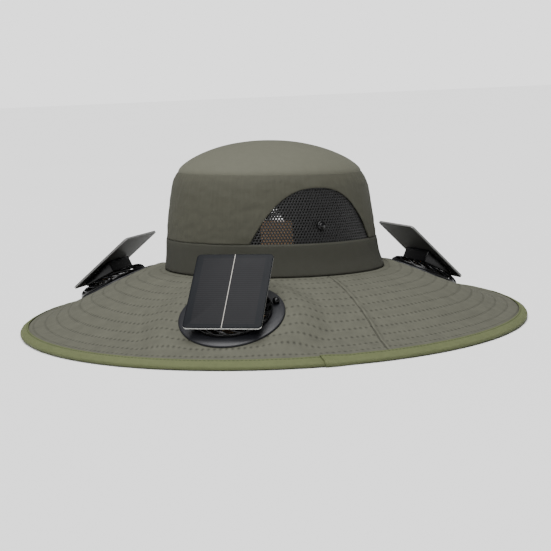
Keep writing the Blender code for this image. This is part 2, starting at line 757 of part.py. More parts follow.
def make_panel_mesh():
    """The cell plate, its upper face on z = 0 and its lower edge's middle at the origin."""
    bm = bmesh.new()
    bmesh.ops.create_cube(bm, size=1.0)
    bmesh.ops.scale(bm, vec=(PANEL_LENGTH, PANEL_WIDTH, PANEL_THICKNESS), verts=bm.verts)
    bmesh.ops.translate(bm, vec=(-PANEL_LENGTH / 2, 0, -PANEL_THICKNESS / 2), verts=bm.verts)
    upright = [e for e in bm.edges if abs(e.verts[0].co.z - e.verts[1].co.z) > PANEL_THICKNESS / 2]
    bmesh.ops.bevel(bm, geom=upright, offset=PANEL_CORNER, segments=3, profile=0.5, affect="EDGES")
    return mesh_from(bm, "solar_panel")


def make_units():
    ring_mesh = turned_piece("fan_ring", ring_profile(), RING_PLASTIC, True)
    cage_sheet = make_cage_mesh()
    rotor = make_rotor_mesh()
    panel_mesh = make_panel_mesh()
    panel_mesh.materials.append(PANEL_LOOK)
    shared = {"fan_ring": apply_modifiers(ring_mesh).data,
              "fan_cage": apply_modifiers(cage_sheet).data,
              "fan_rotor": rotor.data}
    for source in (ring_mesh, cage_sheet, rotor):
        bpy.data.objects.remove(source, do_unlink=True)
    for unit in UNITS:
        frame = FRAMES[unit.name]
        holder = bpy.data.objects.new("fan_unit_" + unit.name, None)
        parts.objects.link(holder)
        holder.matrix_world = frame
        pieces = []
        for kind, mesh in shared.items():
            piece = bpy.data.objects.new(kind + "_" + unit.name, mesh)
            parts.objects.link(piece)
            pieces.append(piece)
        pieces.append(make_motor("fan_motor_" + unit.name, Matrix()))
        pieces.append(make_stand(unit))
        panel = bpy.data.objects.new("solar_panel_" + unit.name, panel_mesh)
        parts.objects.link(panel)
        panel.location = (unit.edge_out, 0, unit.edge_rise)
        panel.rotation_euler = (0, unit.wedge, 0)
        pieces.append(panel)
        reach = (CAGE_RADIUS + RING_RADIUS - RING_BEVEL) / 2
        knob = turned_piece("fan_knob_" + unit.name, dome_profile(KNOB_RADIUS, KNOB_HEIGHT),
                            BLACK_PLASTIC, False, 10)
        knob.location = (reach * cos(KNOB_ANGLE), reach * sin(KNOB_ANGLE), RING_HEIGHT + SEAM_GAP)
        pieces.append(knob)
        for piece in pieces:
            piece.parent = holder


make_crown_top()
make_crown_wall()
make_crown_band()
make_brim()
make_binding()
for side in ARCH_MIDDLES:
    make_net(side)
    make_snap(side)
make_label()
make_units()
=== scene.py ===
import bpy
import bmesh
import json
from math import cos, exp, hypot, pi, radians, sin, sqrt, tan
from mathutils import Matrix, Vector, noise


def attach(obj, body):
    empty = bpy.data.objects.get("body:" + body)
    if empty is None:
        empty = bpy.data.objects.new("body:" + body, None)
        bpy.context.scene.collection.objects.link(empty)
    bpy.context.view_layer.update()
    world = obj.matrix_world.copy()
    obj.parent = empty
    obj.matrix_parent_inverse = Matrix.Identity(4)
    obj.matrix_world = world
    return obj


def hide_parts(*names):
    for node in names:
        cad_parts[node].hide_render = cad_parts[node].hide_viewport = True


# The looks of a sun hat with three small solar fans in its brim.
# Metres, +Z up; the front of the hat looks along -Y, and azimuths run from there towards +X.

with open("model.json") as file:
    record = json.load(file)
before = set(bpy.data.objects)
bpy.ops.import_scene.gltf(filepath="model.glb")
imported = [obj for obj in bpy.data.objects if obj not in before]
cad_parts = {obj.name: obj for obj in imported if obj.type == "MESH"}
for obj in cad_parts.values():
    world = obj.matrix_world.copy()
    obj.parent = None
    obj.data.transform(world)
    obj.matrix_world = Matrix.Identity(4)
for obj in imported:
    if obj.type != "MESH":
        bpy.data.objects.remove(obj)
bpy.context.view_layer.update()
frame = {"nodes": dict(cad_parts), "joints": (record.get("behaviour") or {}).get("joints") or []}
print("frame loaded")


# camera and light

cameraView = {
    "azimuth": 58.0,       # degrees round the hat
    "distance": 1.3,
    "height": 0.22763,
    "pitch": 0.1301,       # radians down
    "roll": -0.0336,
    "focal": 1396.41,      # pixels of a 551 pixel frame
    "centreX": 273.2,
    "centreY": 258.66,
    "frame": 551,
}


def setCamera():
    v = cameraView
    a = radians(v["azimuth"])
    ahead = Vector((-sin(a) * cos(v["pitch"]), cos(a) * cos(v["pitch"]), -sin(v["pitch"])))
    right = Vector((cos(a), sin(a), 0))
    up = right.cross(ahead)
    turnedRight = right * cos(v["roll"]) + up * sin(v["roll"])
    turnedUp = up * cos(v["roll"]) - right * sin(v["roll"])
    data = bpy.data.cameras.new("camera")
    data.sensor_width = 36
    data.lens = v["focal"] / v["frame"] * data.sensor_width
    data.shift_x = 0.5 - v["centreX"] / v["frame"]
    data.shift_y = v["centreY"] / v["frame"] - 0.5
    data.clip_start, data.clip_end = 0.05, 50
    camera = bpy.data.objects.new("camera", data)
    bpy.context.scene.collection.objects.link(camera)
    facing = Matrix((turnedRight, turnedUp, -ahead)).transposed().to_4x4()
    place = Vector((sin(a) * v["distance"], -cos(a) * v["distance"], v["height"]))
    camera.matrix_world = Matrix.Translation(place) @ facing
    bpy.context.scene.camera = camera


lightSet = {
    "key": {"azimuth": 40, "lift": 40, "softness": radians(30), "strength": 2.1},
    "top": {"azimuth": 30, "lift": 84, "softness": radians(50), "strength": 4.2},
    "surround": 0.14,        # light from all sides
    "seen": 1.9,             # how bright the surround looks behind the hat
}


def setLights():
    for name in ("key", "top"):
        s = lightSet[name]
        a, lift = radians(s["azimuth"]), radians(s["lift"])
        data = bpy.data.lights.new(name, "SUN")
        data.angle = s["softness"]
        data.energy = s["strength"]
        lamp = bpy.data.objects.new(name, data)
        bpy.context.scene.collection.objects.link(lamp)
        towards = Vector((sin(a) * cos(lift), -cos(a) * cos(lift), sin(lift)))
        lamp.location = towards * 3
        lamp.rotation_euler = towards.to_track_quat("Z", "Y").to_euler()
    world = bpy.data.worlds.new("studio")
    world.use_nodes = True
    tree = world.node_tree
    lit = tree.nodes["Background"]
    seen = tree.nodes.new("ShaderNodeBackground")
    ray = tree.nodes.new("ShaderNodeLightPath")
    either = tree.nodes.new("ShaderNodeMixShader")
    for shader, strength in ((lit, lightSet["surround"]), (seen, lightSet["seen"])):
        shader.inputs["Color"].default_value = (1, 1, 1, 1)
        shader.inputs["Strength"].default_value = strength
    tree.links.new(ray.outputs["Is Camera Ray"], either.inputs[0])
    tree.links.new(lit.outputs[0], either.inputs[1])
    tree.links.new(seen.outputs[0], either.inputs[2])
    tree.links.new(either.outputs[0], tree.nodes["World Output"].inputs[0])
    bpy.context.scene.world = world


# shader maths

class Signal:
    # a socket that takes part in sums
    def __init__(self, paint, socket):
        self.paint = paint
        self.socket = socket

    def maths(self, operation, *others):
        values = [self] + list(others)
        return self.paint.node("Math", {"operation": operation}, *values)

    def __add__(self, other):
        return self.maths("ADD", other)

    __radd__ = __add__

    def __sub__(self, other):
        return self.maths("SUBTRACT", other)

    def __rsub__(self, other):
        return (self * -1) + other

    def __mul__(self, other):
        return self.maths("MULTIPLY", other)

    __rmul__ = __mul__

    def __truediv__(self, other):
        return self.maths("DIVIDE", other)

    def __pow__(self, other):
        return self.maths("POWER", other)


class Paint:
    # one material and the nodes in it
    def __init__(self, name):
        self.material = bpy.data.materials.new(name)
        self.material.use_nodes = True
        self.tree = self.material.node_tree
        self.shader = self.tree.nodes["Principled BSDF"]

    def node(self, kind, settings=None, *sockets, out=0, **named):
        made = self.tree.nodes.new("ShaderNode" + kind)
        for key, value in (settings or {}).items():
            if key == "stops":
                ramp = made.color_ramp
                while len(ramp.elements) < len(value):
                    ramp.elements.new(0.5)
                for element, (place, colour) in zip(ramp.elements, value):
                    element.position = place
                    element.color = (*colour, 1)
            else:
                setattr(made, key, value)
        for index, value in enumerate(sockets):
            self.feed(made.inputs[index], value)
        for key, value in named.items():
            self.feed(made.inputs[key.replace("_", " ")], value)
        return Signal(self, made.outputs[out])

    def feed(self, target, value):
        if isinstance(value, Signal):
            self.tree.links.new(value.socket, target)
        elif isinstance(value, tuple) and len(value) == 3 and target.type == "RGBA":
            target.default_value = (*value, 1)
        else:
            target.default_value = value

    def set(self, **values):
        for key, value in values.items():
            self.feed(self.shader.inputs[key.replace("_", " ")], value)
        return self.material

    def objectPlace(self):
        return self.node("TexCoord", None, out=3)

    def chartPlace(self):
        # the piece's own flat pattern, in metres
        return self.node("UVMap", {"uv_map": "chart"})

    def parts(self, place):
        made = self.tree.nodes.new("ShaderNodeSeparateXYZ")
        self.tree.links.new(place.socket, made.inputs[0])
        return [Signal(self, made.outputs[i]) for i in range(3)]

    def noise(self, place, scale, detail=2.0, roughness=0.5):
        return self.node("TexNoise", None, Vector=place, Scale=scale, Detail=detail,
                         Roughness=roughness)

    def ramp(self, value, *stops):
        grey = [(place, (level, level, level)) for place, level in stops]
        return self.node("ValToRGB", {"stops": grey}, value)

    def blend(self, factor, first, second):
        made = self.tree.nodes.new("ShaderNodeMix")
        made.data_type = "RGBA"
        self.feed(made.inputs[0], factor)
        self.feed(made.inputs[6], first)
        self.feed(made.inputs[7], second)
        return Signal(self, made.outputs[2])

    def bump(self, height, depth):
        return self.node("Bump", None, Height=height, Distance=depth, Strength=1.0)


def wave(value, pitch):
    # 0 to 1 and back over each pitch
    return (value * (2 * pi / pitch)).maths("SINE") * 0.5 + 0.5


def bell(value, width):
    # 1 where the value is nought, fading out past the width
    return ((value / width) ** 2 * -1.0).maths("EXPONENT")


def tint(colour, factor):
    return tuple(c * factor for c in colour)


# finishes

clothLook = {
    # the top and brim are painted lighter and the band darker than the crown wall: painted light and
    # painted shade on one and the same cloth
    "crown": (0.055, 0.0545, 0.0395),
    "top": (0.096, 0.096, 0.072),
    "band": (0.038, 0.038, 0.029),
    "brim": (0.081, 0.081, 0.062),
    "threadPitch": 0.00062,
    "weftShare": 1.12,      # pitch of the weft against the warp's
    "mottle": 160.0,        # scales of the noises
    "shade": 14.0,
    "streak": (420.0, 14.0, 14.0),
    "crownStreaks": 0.22,
    "rough": 0.82,
    "depth": 0.00012,
}


def wovenCloth(name, colour, onChart, streaks=0.0):
    s = clothLook
    paint = Paint(name)
    place = paint.chartPlace() if onChart else paint.objectPlace()
    across, along = paint.parts(place)[:2]
    weave = wave(across, s["threadPitch"]) * wave(along, s["threadPitch"] * s["weftShare"])
    mottled = paint.noise(place, s["mottle"], 3.0)
    shade = paint.noise(place, s["shade"], 2.0)
    level = mottled * 0.16 + shade * 0.08 + 0.88
    if streaks:
        stretched = paint.node("Mapping", None, Vector=place, Scale=s["streak"])
        level = level + (paint.noise(stretched, 1.0, 2.0) - 0.5) * streaks
    # the cloth's colour with its random tone; for the crown top and band it also carries painted light
    # and painted shade from their colours
    dyeAndPaintedLight = paint.blend(level.maths("SUBTRACT", 0.5), tint(colour, 0.55), tint(colour, 1.5))
    paint.set(Base_Color=dyeAndPaintedLight, Roughness=s["rough"], Specular_IOR_Level=0.3)
    height = weave * 0.6 + mottled * 0.8
    return paint.set(Normal=paint.bump(height, s["depth"]))


chartAzimuth = 0.1      # metres on the brim's chart for each radian round the hat

brimStitch = {
    "firstRow": 0.0052,     # from the crown's seam, along the cloth
    "rowPitch": 0.01145,
    "stitch": 0.0048,
    "baseRadius": 0.0985,   # of the first row
    "levelShare": 0.93,     # of the way along the cloth that counts outward
    "stagger": 0.5,         # of a stitch, on every second row
    "spotLength": 0.0015,   # a stitch's dimple
    "spotWidth": 0.0015,
    "spotEdge": 1.6,
    "furrowWidth": 0.0009,
    "gapWidth": 0.0012,     # half of what a stitch pulls down along its row
    "puffWidth": 0.0028,
    "warpPitch": 0.00062,
    "weftPitch": 0.0007,
    "seamIn": 88.2,         # degrees, where a side seam leaves the crown
    "seamOut": 83.0,
    "seamRun": 0.118,
    "seamRadius": 0.1,      # of the seam's inner end
    "creaseWidth": 0.0007,
    "foldWidth": 0.0042,
    # colour weights: painted shade for dimples, furrows and creases, painted highlight for puffs and
    # folds, random tone for the rest
    "shade": {"plain": 0.73, "uneven": 0.46, "broad": 0.08, "dimple": 0.44, "furrow": 0.03,
              "puff": 0.09, "crease": 0.34, "fold": 0.05},
    "relief": {"uneven": 0.50, "weave": 0.10, "dimple": 1.0, "furrow": 0.16, "fold": 1.5,
               "crease": 1.6},
    "depth": 0.00055,
}


def quiltedCloth():
    s = brimStitch
    paint = Paint("brim cloth")
    around, outward = paint.parts(paint.chartPlace())[:2]
    place = paint.objectPlace()
    x, y = paint.parts(place)[:2]
    row = ((outward - s["firstRow"]) / s["rowPitch"]).maths("ROUND")
    offRow = outward - (row * s["rowPitch"] + s["firstRow"])
    radius = row * (s["rowPitch"] * s["levelShare"]) + s["baseRadius"]
    count = around * radius / (s["stitch"] * chartAzimuth) + row.maths("MODULO", 2.0) * s["stagger"]
    offStitch = (count - count.maths("ROUND")) * s["stitch"]
    # a dimple where the needle went in, a furrow along the row; both are painted darker as painted shade
    dimple = (offStitch / s["spotLength"]) ** 2 + (offRow / s["spotWidth"]) ** 2
    dimple = (dimple * -s["spotEdge"]).maths("EXPONENT")
    furrow = bell(offRow, s["furrowWidth"])
    # the cloth stands up a little between one stitch and the next, and is painted lighter there as a
    # painted highlight
    puff = (1.0 - bell(offStitch, s["gapWidth"])) * bell(offRow, s["puffWidth"])
    weave = wave(x, s["warpPitch"]) * wave(y, s["weftPitch"])
    uneven = paint.noise(place, 95.0, 3.0)
    broad = paint.noise(place, 9.0, 2.0)
    # the two side seams, each a raised fold with a crease at its edge; the crease is painted darker as
    # painted shade, the fold lighter as a painted highlight
    share = outward / s["seamRun"]
    seamAngle = share * radians(s["seamOut"] - s["seamIn"]) + radians(s["seamIn"])
    offSeam = ((around / chartAzimuth).maths("ABSOLUTE") - seamAngle) * (outward + s["seamRadius"])
    crease = bell(offSeam, s["creaseWidth"])
    fold = bell(offSeam - s["foldWidth"] / 2, s["foldWidth"] * 0.42)
    # no stitches on the fold
    dimple = dimple * (1.0 - fold * 0.8)
    # painted shade in dimples, furrows and creases and painted highlight on puffs and folds, over the
    # cloth's random tone
    shade = s["shade"]
    level = uneven * shade["uneven"] + broad * shade["broad"] + shade["plain"]
    level = level - dimple * shade["dimple"] - furrow * shade["furrow"] + puff * shade["puff"]
    level = level - crease * shade["crease"] + fold * shade["fold"]
    cloth = clothLook["brim"]
    colour = paint.blend(level.maths("SUBTRACT", 0.5), tint(cloth, 0.5), tint(cloth, 1.5))
    paint.set(Base_Color=colour, Roughness=0.85, Specular_IOR_Level=0.25)
    relief = s["relief"]
    height = uneven * relief["uneven"] + weave * relief["weave"] - dimple * relief["dimple"]
    height = height - furrow * relief["furrow"] + fold * relief["fold"] - crease * relief["crease"]
    return paint.set(Normal=paint.bump(height, s["depth"]))


tapeLook = {
    "shade": (0.026, 0.034, 0.013),
    "light": (0.125, 0.142, 0.062),
    "ribPitch": 0.0013,
    "ribSlant": 1.4,
    "seamFrom": 0.0014,     # the line of stitches, from the tape's upper edge
    "seamWidth": 0.0005,
    "stitchPitch": 0.0034,
    "underFrom": 0.0080,    # across the tape, where it turns under the brim and its painted shade begins
    "underAll": 0.0100,
    "depth": 0.0003,
}


def twillTape():
    s = tapeLook
    paint = Paint("binding tape")
    around, across = paint.parts(paint.chartPlace())[:2]
    place = paint.objectPlace()
    ribs = wave(around + across * s["ribSlant"], s["ribPitch"])
    mottled = paint.noise(place, 240.0, 2.0)
    patches = paint.noise(place, 30.0, 2.0)
    seam = bell(across - s["seamFrom"], s["seamWidth"])
    stitches = paint.ramp(wave(around, s["stitchPitch"]), (0.35, 0.0), (0.6, 1.0))
    # painted shade: the part of the tape that turns under the brim is painted darker
    shadeUnderBrim = paint.ramp(across / s["underAll"], (s["underFrom"] / s["underAll"], 0.0), (1.0, 1.0))
    level = ribs * 0.26 + mottled * 0.24 + patches * 0.2 + 0.42 - seam * (stitches * 0.35 + 0.2)
    level = level - shadeUnderBrim * 0.22
    colour = paint.blend(level, s["shade"], s["light"])
    paint.set(Base_Color=colour, Roughness=0.8, Specular_IOR_Level=0.3)
    height = ribs * 0.7 + mottled * 0.4 - seam * 0.8
    return paint.set(Normal=paint.bump(height, s["depth"]))


def netYarn():
    paint = Paint("net")
    place = paint.objectPlace()
    fibres = paint.noise(place, 900.0, 2.0)
    colour = paint.blend(fibres, (0.002, 0.002, 0.002), (0.008, 0.008, 0.008))
    paint.set(Base_Color=colour, Roughness=0.5)
    return paint.set(Normal=paint.bump(fibres, 0.0001))


def patchCloth():
    paint = Paint("tan patch")
    place = paint.objectPlace()
    x, y, z = paint.parts(place)
    weave = wave(x + y, 0.0011) * wave(z, 0.0011)
    mottled = paint.noise(place, 120.0, 2.0)
    colour = paint.blend(weave * 0.6 + mottled * 0.5, (0.66, 0.46, 0.28), (0.95, 0.78, 0.56))
    # painted light: the patch glows with a faint emission of its own, standing in for the light that
    # comes through the thin cloth of the crown
    paint.set(Base_Color=colour, Roughness=0.8, Emission_Color=(0.80, 0.52, 0.30),
              Emission_Strength=0.17)
    return paint.set(Normal=paint.bump(weave, 0.0002))


plasticLook = {"grain": 0.1, "depth": 0.00004}


def mouldedPlastic(name, colour, rough, shine=0.5):
    s = plasticLook
    paint = Paint(name)
    place = paint.objectPlace()
    fine = paint.noise(place, 1400.0, 2.0)
    worn = paint.noise(place, 60.0, 3.0)
    paint.set(Base_Color=paint.blend(worn, tint(colour, 0.8), tint(colour, 1.25)))
    paint.set(Roughness=worn * s["grain"] + (rough - s["grain"] / 2), Specular_IOR_Level=shine)
    return paint.set(Normal=paint.bump(fine, s["depth"]))


def motorMetal():
    paint = Paint("motor can")
    place = paint.objectPlace()
    drawn = paint.noise(paint.node("Mapping", None, Vector=place, Scale=(30.0, 30.0, 900.0)), 1.0)
    paint.set(Base_Color=paint.blend(drawn, (0.42, 0.37, 0.30), (0.62, 0.57, 0.48)))
    return paint.set(Metallic=1.0, Roughness=drawn * 0.2 + 0.28)


solarCell = {
    "fingerPitch": 0.0021,
    "busbarWidth": 0.00055,
    "borderSide": 0.0062,
    "borderEnd": 0.0040,
}


def cellFace(length, width):
    # the chart runs from the plate's lower edge uphill, and from its middle to its side
    s = solarCell
    paint = Paint("solar cell")
    along, across = paint.parts(paint.chartPlace())[:2]
    place = paint.objectPlace()
    side = across.maths("ABSOLUTE")
    fingers = paint.ramp(wave(along, s["fingerPitch"]), (0.86, 0.0), (0.97, 1.0))
    inCell = side.maths("LESS_THAN", width / 2 - s["borderSide"])
    inCell = inCell * along.maths("GREATER_THAN", s["borderEnd"])
    inCell = inCell * along.maths("LESS_THAN", length - s["borderEnd"])
    busbar = side.maths("LESS_THAN", s["busbarWidth"] / 2)
    broken = paint.noise(place, 700.0, 2.0)
    facets = paint.noise(place, 45.0, 2.0)
    silicon = paint.blend(facets, (0.0045, 0.0045, 0.006), (0.007, 0.007, 0.0085))
    lined = paint.blend(fingers * inCell * (broken * 0.5 + 0.1), silicon, (0.026, 0.027, 0.030))
    board = paint.blend(inCell, (0.003, 0.004, 0.006), lined)
    colour = paint.blend(busbar * (broken * 0.5 + 0.65), board, (0.48, 0.46, 0.42))
    paint.set(Base_Color=colour, Roughness=facets * 0.1 + 0.42, Specular_IOR_Level=0.10)
    return paint.set(Normal=paint.bump(facets, 0.00015))


def makeFinishes():
    silver = (0.62, 0.62, 0.60)
    return {
        "crown": wovenCloth("crown cloth", clothLook["crown"], True,
                            streaks=clothLook["crownStreaks"]),
        "top": wovenCloth("crown top cloth", clothLook["top"], False),
        "band": wovenCloth("band cloth", clothLook["band"], True),
        "brim": quiltedCloth(),
        "tape": twillTape(),
        "net": netYarn(),
        "patch": patchCloth(),
        "black": mouldedPlastic("black plastic", (0.003, 0.003, 0.0035), 0.24, shine=0.3),
        "ring": mouldedPlastic("ring plastic", (0.011, 0.0115, 0.014), 0.40, shine=0.35),
        "rotor": mouldedPlastic("rotor plastic", (0.62, 0.47, 0.31), 0.4),
        "motor": motorMetal(),
        "board": mouldedPlastic("board edge", silver, 0.35),
        # painted shade: the plate's other sides take the board's silver darkened, and its underside is
        # painted dark grey for the shade beneath it
        "boardSide": mouldedPlastic("board side", tint(silver, 0.22), 0.4),
        "underside": mouldedPlastic("plate underside", (0.060, 0.062, 0.060), 0.42, shine=0.3),
        "cell": cellFace(fanUnit["panelLength"], fanUnit["panelWidth"]),
    }


# the hat's shape

hat = {
    "headLength": 0.204,
    "headWidth": 0.1714,
    "baseHeight": 0.0503,
    "bandHeight": 0.0293,
    "wallHeight": 0.0608,
    "domeRise": 0.0283,
    "bandFlare": 0.0049,
    "bandShiftBack": 0.0030,
    "lean": radians(2.2),
    "wallReach": [(0.0, 1.0), (0.17, 0.990), (0.44, 0.968), (0.72, 0.940), (0.88, 0.912),
                  (1.0, 0.8705)],
    "bandSpread": [(0.0, 1.0), (0.45, 0.36), (1.0, 0.0)],
}

brim = {
    "length": 0.4762,
    "width": 0.4596,
    "edgeHeight": 0.0028,
    "rollWidth": 0.0100,
    "rollSlope": radians(30),
    "drop": [(0.0, 0.0), (0.10, 0.055), (0.24, 0.165), (0.38, 0.305), (0.52, 0.475), (0.65, 0.655),
             (0.78, 0.83), (0.90, 0.95), (1.0, 1.0)],
    "heldAtCrown": 0.06,    # shares of the brim where its seams keep it from a fan's seat
    "heldAtTape": 0.15,
    "cloth": 0.0022,
    "columns": 520,
    "bands": 11,            # between stitched rows
    "rowsInBand": 7,
    "taped": 0.07,          # share of the sheet's rows that the tape hides
    "groove": 0.00009,
    "puff": 0.00010,
}

fanUnit = {
    "ringRadius": 0.0446,
    "ringHeight": 0.0025,
    "ringLip": 0.0010,
    "ringBevel": 0.0020,
    "clampRadius": 0.0360,
    "clampHeight": 0.0015,
    "holeRadius": 0.0315,
    "holeHem": 0.0022,      # the visible cloth stops this far from the CAD's hole, under the ring
    "collarWall": 0.0017,
    "collarDepth": 0.0075,
    "gap": 0.0003,
    "cageRadius": 0.0345,
    "cageHeight": 0.0082,
    "cageShoulder": 0.0095,
    "cageDisc": 0.0125,
    "cageFoot": 0.0016,
    "cageWall": 0.0017,
    "cageBars": 17,
    "cageTwist": radians(52),
    "standLength": 0.034,
    "standWidth": 0.042,
    "panelLength": 0.0775,
    "panelWidth": 0.0655,
    "panelThickness": 0.0020,
    "panelCorner": 0.0035,
    "knobRadius": 0.0031,
    "knobHeight": 0.0046,
    "knobAngle": radians(115),
    "seatMargin": 0.0080,
    "seatFade": 0.0300,
    # where the middle of each cell plate's lower edge is, in its unit's frame, and its tilt
    "edgeOut": {"front_right": 0.0345, "front_left": 0.0246, "back": 0.0232},
    "edgeRise": {"front_right": 0.0127, "front_left": 0.0158, "back": 0.0139},
    "wedge": {"front_right": radians(17.2), "front_left": radians(12.9), "back": radians(17.0)},
}


def mix(low, high, share):
    return low + (high - low) * share


def ease(share):
    share = min(1.0, max(0.0, share))
    return share * share * (3 - 2 * share)


def smoothRead(rows, at):
    # a smooth curve through a table's rows
    at = min(max(at, rows[0][0]), rows[-1][0])
    index = 0
    while index < len(rows) - 2 and at > rows[index + 1][0]:
        index += 1
    (x0, y0), (x1, y1) = rows[index], rows[index + 1]

    def slopeAt(i):
        low, high = max(i - 1, 0), min(i + 1, len(rows) - 1)
        return (rows[high][1] - rows[low][1]) / (rows[high][0] - rows[low][0])

    step = x1 - x0
    t = (at - x0) / step
    pull0, pull1 = slopeAt(index) * step, slopeAt(index + 1) * step
    return (y0 * (1 + 2 * t) * (1 - t) ** 2 + pull0 * t * (1 - t) ** 2
            + y1 * t * t * (3 - 2 * t) + pull1 * t * t * (t - 1))


def ovalPoint(length, width, back, height, azimuth, inset=0.0):
    y = back - (length / 2 - inset) * cos(azimuth)
    return Vector(((width / 2 - inset) * sin(azimuth), y, height - y * tan(hat["lean"])))


def wallPoint(azimuth, up, inset=0.0):
    reach = smoothRead(hat["wallReach"], up)
    height = hat["baseHeight"] + hat["bandHeight"] + hat["wallHeight"] * up
    return ovalPoint(hat["headLength"] * reach, hat["headWidth"] * reach, 0.0, height, azimuth, inset)


def bandPoint(azimuth, up, inset=0.0):
    spread = smoothRead(hat["bandSpread"], up)
    grow = 2 * hat["bandFlare"] * spread
    height = hat["baseHeight"] + hat["bandHeight"] * up
    return ovalPoint(hat["headLength"] + grow, hat["headWidth"] + grow, hat["bandShiftBack"] * spread,
                     height, azimuth, inset)


def unitFrames():
    # each fan's frame, from its joint: X down the slope, Z off the cloth
    found = {}
    for joint in frame["joints"]:
        off = Vector(joint["axis"]).normalized()
        along = Vector((0, 0, 1)).cross(off).normalized()
        made = Matrix((along.cross(off), along, off)).transposed().to_4x4()
        made.translation = Vector(joint["pos_m"])
        found[joint["name"].replace("rotor_spin_", "")] = made
    return found


unitAt = unitFrames()


def seatHeight(x, y, height, out):
    # the cloth lies flat under each ring and eases back to the brim's own fall around it
    flat = fanUnit["ringRadius"] + fanUnit["seatMargin"]
    guard = ease(out / brim["heldAtCrown"]) * ease((1 - out) / brim["heldAtTape"])
    for made in unitAt.values():
        middle = made.translation
        off = made.col[2].to_3d()
        dx, dy = x - middle.x, y - middle.y
        rise = -(dx * off.x + dy * off.y) / off.z
        distance = sqrt(dx * dx + dy * dy + rise * rise)
        if distance < flat + fanUnit["seatFade"]:
            plane = max(middle.z + rise * min(1.0, flat / max(distance, 1e-6)), brim["edgeHeight"])
            share = (1 - ease((distance - flat) / fanUnit["seatFade"])) * guard
            height = mix(height, plane, share)
    return height


def edgePoint(azimuth):
    x, y = brim["width"] / 2 * sin(azimuth), -brim["length"] / 2 * cos(azimuth)
    return Vector((x, y, brim["edgeHeight"]))


def edgeOutward(azimuth):
    return Vector((sin(azimuth) * brim["length"], -cos(azimuth) * brim["width"], 0)).normalized()


def brimPoint(azimuth, out):
    start = bandPoint(azimuth, 0.0)
    end = edgePoint(azimuth) - edgeOutward(azimuth) * brim["rollWidth"] * cos(brim["rollSlope"])
    end.z += brim["rollWidth"] * sin(brim["rollSlope"])
    place = start.lerp(end, out)
    height = mix(start.z, end.z, smoothRead(brim["drop"], out))
    place.z = seatHeight(place.x, place.y, height, out)
    return place


# making pieces

def gridSheet(columns, rows, place, chart, mergeAt=0.00002):
    # a flat grid, u and v from 0 to 1, laid where place(u, v) says
    bm = bmesh.new()
    pattern = bm.loops.layers.uv.new("chart")
    bmesh.ops.create_grid(bm, x_segments=columns, y_segments=rows, size=0.5)
    flat = {vert: (vert.co.x + 0.5, vert.co.y + 0.5) for vert in bm.verts}
    for face in bm.faces:
        face.smooth = True
        for loop in face.loops:
            loop[pattern].uv = chart(*flat[loop.vert])
    for vert, (u, v) in flat.items():
        vert.co = place(u, v)
    bmesh.ops.remove_doubles(bm, verts=bm.verts, dist=mergeAt)
    return bm


def turned(profile, steps, closed):
    # a profile of (radius, height) spun round Z
    bm = bmesh.new()
    verts = [bm.verts.new((radius, 0, height)) for radius, height in profile]
    edges = [bm.edges.new(pair) for pair in zip(verts, verts[1:])]
    if closed:
        edges.append(bm.edges.new((verts[-1], verts[0])))
    bmesh.ops.spin(bm, geom=verts + edges, cent=(0, 0, 0), axis=(0, 0, 1), angle=2 * pi,
                   steps=steps, use_merge=True)
    bmesh.ops.remove_doubles(bm, verts=bm.verts, dist=0.00001)
    bmesh.ops.recalc_face_normals(bm, faces=bm.faces)
    return bm


def rounded(bm, edges, size, segments=2):
    bmesh.ops.bevel(bm, geom=edges, offset=size, offset_type="OFFSET", segments=segments,
                    profile=0.5, affect="EDGES", material=-1, clamp_overlap=True)


def addPiece(name, bm, finishes, body, nodes, smoothAngle=None, thick=0.0):
    mesh = bpy.data.meshes.new(name)
    bm.to_mesh(mesh)
    bm.free()
    piece = bpy.data.objects.new(name, mesh)
    bpy.context.scene.collection.objects.link(piece)
    for material in finishes:
        mesh.materials.append(material)
    if smoothAngle:
        mesh.shade_smooth()
        mesh.set_sharp_from_angle(angle=smoothAngle)
    if thick:
        wall = piece.modifiers.new("wall", "SOLIDIFY")
        wall.thickness = thick
        wall.offset = -1
    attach(piece, body)
    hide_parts(*nodes)
    return piece


setCamera()
setLights()
finish = makeFinishes()
print("camera, light and finishes set")


# crown

crown = {
    "columns": 440,
    "wallRows": 46,
    "bandRows": 24,
    "domeRows": 44,
    "cloth": 0.0010,
    "seamTurn": 0.0011,      # the edges of the cloth turn in at a seam
    "seamReach": 0.0018,
    "foldDepth": 0.00045,
    "bandProud": 0.0005,
}

arch = {
    "half": radians(38.6),
    "height": 0.0484,
    "power": 2.5,
    "middle": {"right": radians(89), "left": radians(-89)},
    "netInset": 0.0013,
    "netTuck": 0.0040,
    "netPitch": 0.0028,
    "netHole": 0.00086,     # from a hole's middle to its side
    "yarn": 0.0005,
}


def archShare(azimuth):
    # height of the net's outline over the band as a share of the wall, nought outside it
    tallest = arch["height"] / hat["wallHeight"]
    for middle in arch["middle"].values():
        share = abs(azimuth - middle) / arch["half"]
        if share < 1:
            return tallest * (1 - share ** arch["power"])
    return 0.0


def seamTurn(distance):
    # how far a cloth turns in near its sewn edge
    reach = crown["seamReach"]
    if distance > reach:
        return 0.0
    return crown["seamTurn"] * (1 - sqrt(max(0.0, 1 - (1 - distance / reach) ** 2)))


def softFolds(azimuth, height):
    # faint upright folds, and small gathers just under the top seam
    broad = noise.noise(Vector((azimuth * 5.5, height * 9.0, 3.1)))
    fine = noise.noise(Vector((azimuth * 26.0, height * 14.0, 8.7)))
    gathers = noise.noise(Vector((azimuth * 48.0, 2.0, 1.3)))
    nearTop = exp(-(1 - height) * hat["wallHeight"] / 0.006)
    return crown["foldDepth"] * (broad + fine * 0.55 + gathers * nearTop * 1.2)


